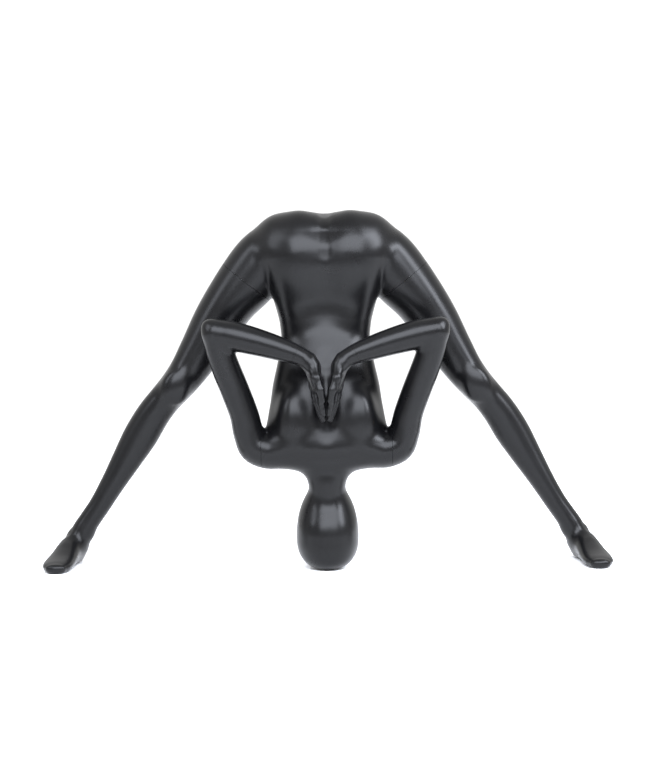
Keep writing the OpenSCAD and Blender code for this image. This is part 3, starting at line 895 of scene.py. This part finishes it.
def ring_of_screws(metal):
    tree = bpy.data.node_groups.new("ring_of_screws", "GeometryNodeTree")
    for name, kind in (("Count", "Int"), ("Ring Diameter", "Float"), ("Thread", "Float"),
                       ("Length", "Float"), ("Turns", "Int")):
        tree.interface.new_socket(name=name, in_out="INPUT", socket_type="NodeSocket" + kind)
    tree.interface.new_socket(name="Geometry", in_out="OUTPUT", socket_type="NodeSocketGeometry")
    given = tree.nodes.new("NodeGroupInput").outputs

    def feed(node, values):
        """Fills the node's inputs in order, each with a number or a link."""
        for socket, value in zip(node.inputs, values):
            if isinstance(value, (int, float)):
                socket.default_value = value
            else:
                tree.links.new(value, socket)
        return node.outputs[0]

    def math_node(operation, *values):
        return feed(add(tree, "ShaderNodeMath", {"operation": operation}), values)

    def vector(x=0.0, y=0.0, z=0.0):
        return feed(tree.nodes.new("ShaderNodeCombineXYZ"), (x, y, z))

    # head: a cone, minus a cross of two bars
    thread = given["Thread"]
    head_height = math_node("MULTIPLY", thread, HEAD_SHARE)
    below = math_node("MULTIPLY", thread, -HEAD_SHARE)
    cone = add(tree, "GeometryNodeMeshCone", {"Vertices": HEAD_SIDES}, Radius_Top=thread,
               Radius_Bottom=math_node("MULTIPLY", thread, 0.5), Depth=head_height)
    head = add(tree, "GeometryNodeTransform", Geometry=cone.outputs["Mesh"],
               Translation=vector(z=below))
    across = math_node("MULTIPLY", thread, CROSS_LONG)
    narrow = math_node("MULTIPLY", thread, CROSS_WIDE)
    recess = tree.nodes.new("GeometryNodeJoinGeometry")
    for size in (vector(across, narrow, thread), vector(narrow, across, thread)):
        bar = add(tree, "GeometryNodeMeshCube", Size=size)
        bar = add(tree, "GeometryNodeTransform", Geometry=bar.outputs["Mesh"],
                  Translation=vector(z=math_node("MULTIPLY", thread, CROSS_LIFT)))
        tree.links.new(bar.outputs[0], recess.inputs[0])
    cut_head = tree.nodes.new("GeometryNodeMeshBoolean")
    cut_head.operation = "DIFFERENCE"
    cut_head.solver = "EXACT"
    cut_head.inputs["Self Intersection"].default_value = True
    tree.links.new(head.outputs[0], cut_head.inputs["Mesh 1"])
    tree.links.new(recess.outputs[0], cut_head.inputs["Mesh 2"])

    # shank: a line whose every second station is thinner
    line = add(tree, "GeometryNodeCurvePrimitiveLine", Start=vector(z=below),
               End=vector(z=math_node("MULTIPLY", given["Length"], -1.0)))
    stations = math_node("MULTIPLY_ADD", given["Turns"], 2, 1)
    shank = add(tree, "GeometryNodeResampleCurve", Curve=line.outputs[0], Count=stations)
    odd = math_node("MODULO", tree.nodes.new("GeometryNodeInputIndex").outputs[0], 2)
    radius = math_node("MULTIPLY", math_node("SUBTRACT", 0.5, math_node("MULTIPLY", odd, RIDGE)),
                       thread)
    circle = add(tree, "GeometryNodeCurvePrimitiveCircle",
                 {"Resolution": SHANK_SIDES, "Radius": 1.0})
    ridged = add(tree, "GeometryNodeCurveToMesh", {"Fill Caps": True}, Curve=shank.outputs[0],
                 Profile_Curve=circle.outputs["Curve"], Scale=radius)

    # ring: one screw on each point, at a random turn
    screw = tree.nodes.new("GeometryNodeJoinGeometry")
    for part in (cut_head, ridged):
        tree.links.new(part.outputs[0], screw.inputs[0])
    ring = add(tree, "GeometryNodeMeshCircle", Vertices=given["Count"],
               Radius=math_node("MULTIPLY", given["Ring Diameter"], 0.5))
    turn = tree.nodes.new("FunctionNodeRandomValue")
    turn.data_type = "FLOAT"
    seeded = {socket.identifier: socket for socket in turn.inputs}
    seeded["Max_001"].default_value = math.tau
    seeded["Seed"].default_value = TURN_SEED
    angle = next(socket for socket in turn.outputs if socket.enabled)
    placed = add(tree, "GeometryNodeInstanceOnPoints", Points=ring.outputs[0],
                 Instance=screw.outputs[0], Rotation=vector(z=angle))
    real = add(tree, "GeometryNodeRealizeInstances", Geometry=placed.outputs[0])
    done = add(tree, "GeometryNodeSetMaterial", {"Material": metal}, Geometry=real.outputs[0])
    out = tree.nodes.new("NodeGroupOutput")
    tree.links.new(done.outputs[0], out.inputs["Geometry"])
    return tree


# %% [markdown]
# Four screws hold each fitting in a shoulder and six each fitting in a thigh.
# The screws of one body become one piece, which stands for their CAD nodes.

# %% Rings of screws on every board
SCREW_TOP = -1.2                      # height of the head's top over the seam, mm
PITCH_SHARE = 0.175
# middle, way they face, count, ring diameter, thread and length in millimetres
RINGS = {"housing_screws": ([shoulder_x, -105, 291], (1, 0, 0), 4, 60, 4, 14),
         "arm_screws": ([shoulder_x, -105, 291], (-1, 0, 0), 4, 46, 4, 14),
         "hip_screws": (thigh_seam, leg_axis, 6, 76, 5, 18),
         "leg_screws": (thigh_seam, -leg_axis, 6, 76, 5, 18)}
screw_tree = ring_of_screws(finishes["zinc"])


def screw_ring(name, place, normal, count, ring, thread, length):
    """The ring as a plain mesh, in its place on the left side."""
    bare = bpy.data.objects.new(name, bpy.data.meshes.new(name))
    bpy.context.scene.collection.objects.link(bare)
    nodes = bare.modifiers.new("screws", "NODES")
    nodes.node_group = screw_tree
    turns = round((length - HEAD_SHARE * thread) / (PITCH_SHARE * thread))
    sizes = {"Count": count, "Ring Diameter": ring * MM, "Thread": thread * MM,
             "Length": length * MM, "Turns": turns}
    for socket in screw_tree.interface.items_tree:
        if socket.name in sizes:
            nodes[socket.identifier] = sizes[socket.name]
    bake_modifiers(bare)
    normal = np.array(normal, float)
    tilt = Matrix.Rotation(math.atan2(normal[1], normal[0]), 4, "Z") @ Matrix.Rotation(
        math.acos(normal[2]), 4, "Y")
    bare.data.transform(Matrix.Translation(to_frame(place)) @ tilt
                        @ Matrix.Translation((0, 0, SCREW_TOP * MM)))
    return bare


def join(name, pieces):
    """One plain mesh out of several, under a new name."""
    work = bmesh.new()
    for piece in pieces:
        work.from_mesh(piece.data)
    mesh = pieces[0].data
    work.to_mesh(mesh)
    work.free()
    for piece in pieces[1:]:
        bpy.data.objects.remove(piece)
    pieces[0].name = mesh.name = name
    return pieces[0]


made = {}
for node, sizes in RINGS.items():
    left = screw_ring("left_" + node, *sizes)
    made["left_" + node] = left
    made["right_" + node] = other_side("right_" + node, left)
trunk_rings = [side + node for node in ("_housing_screws", "_hip_screws") for side in SIDES]
fasteners = [("torso_screws", "torso", trunk_rings)]
for side in SIDES:
    fasteners.append((side + "_arm_fasteners", side + "_arm", [side + "_arm_screws"]))
    fasteners.append((side + "_leg_fasteners", side + "_leg", [side + "_leg_screws"]))
for name, body, nodes in fasteners:
    piece = join(name, [made[node] for node in nodes])
    shade(piece)
    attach(piece, body)
    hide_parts(*nodes)
    print(name, len(piece.data.polygons), "faces")

# %% [markdown]
# Each casting rides on the body of the CAD node that it stands for. The
# other fittings keep their CAD shape and only get a better finish.

# %% Put the pieces on their bodies
castings = [(torso_piece, "torso", "torso_shell")]
for side, pieces in (("left", (left_arm, left_hand, left_leg)),
                     ("right", (right_arm, right_hand, right_leg))):
    for piece, node in zip(pieces, ("arm_shell", "hand", "leg_shell")):
        body = side + ("_leg" if node == "leg_shell" else "_arm")
        castings.append((piece, body, f"{side}_{node}"))

for piece, body, node in castings:
    piece.data.materials.clear()
    piece.data.materials.append(enamel)
    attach(piece, body)
    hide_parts(node)

slots = {row["node"]: row["material_slot"] for row in frame["record"]["subparts"]}
for name, piece in frame["nodes"].items():
    if slots[name] in finishes:
        piece.data.materials.clear()
        piece.data.materials.append(finishes[slots[name]])
print(len(castings), "castings and", len(frame["nodes"]), "CAD nodes")

# %% [markdown]
# ## Studio
# The floor is a plain pale sheet. One broad soft box in front and above draws
# the wide highlights, one at each side catches the outer thighs, and the
# white surroundings give every edge its rim.

# %% Floor and light
FLOOR_SIZE = 30                       # metres
ROOM_STRENGTH = 1.12


def area_light(name, place, aim_at, size, power):
    data = bpy.data.lights.new(name, "AREA")
    data.shape = "RECTANGLE"
    data.size, data.size_y = size
    data.energy = power
    data.color = linear("#eff4ff")[:3]
    lamp = bpy.data.objects.new(name, data)
    lamp.location = place
    way = Vector(aim_at) - Vector(place)
    lamp.rotation_euler = way.to_track_quat("-Z", "Y").to_euler()
    bpy.context.scene.collection.objects.link(lamp)


bpy.ops.mesh.primitive_plane_add(size=FLOOR_SIZE)
floor = bpy.context.active_object
floor.name = "floor"
paper = material("white_paper")
finish_with(paper, add(paper.node_tree, "ShaderNodeBsdfPrincipled",
                       {"Base Color": linear("#fafafa"), "Roughness": 0.9,
                        "Specular IOR Level": 0.2}))
floor.data.materials.append(paper)

area_light("front_box", (0.3, -2.6, 2.55), (0, 0, 0.55), (5.0, 2.3), 450)
area_light("right_side_box", (2.7, -0.9, 2.4), (0.25, 0, 0.65), (1.0, 2.2), 150)
area_light("left_side_box", (-2.7, -0.9, 2.4), (-0.25, 0, 0.65), (0.9, 2.0), 45)

world = bpy.data.worlds.new("white_room")
world.use_nodes = True
world.node_tree.nodes["Background"].inputs["Color"].default_value = linear("#ffffff")
world.node_tree.nodes["Background"].inputs["Strength"].default_value = ROOM_STRENGTH
bpy.context.scene.world = world
bpy.context.scene.view_settings.view_transform = "Standard"
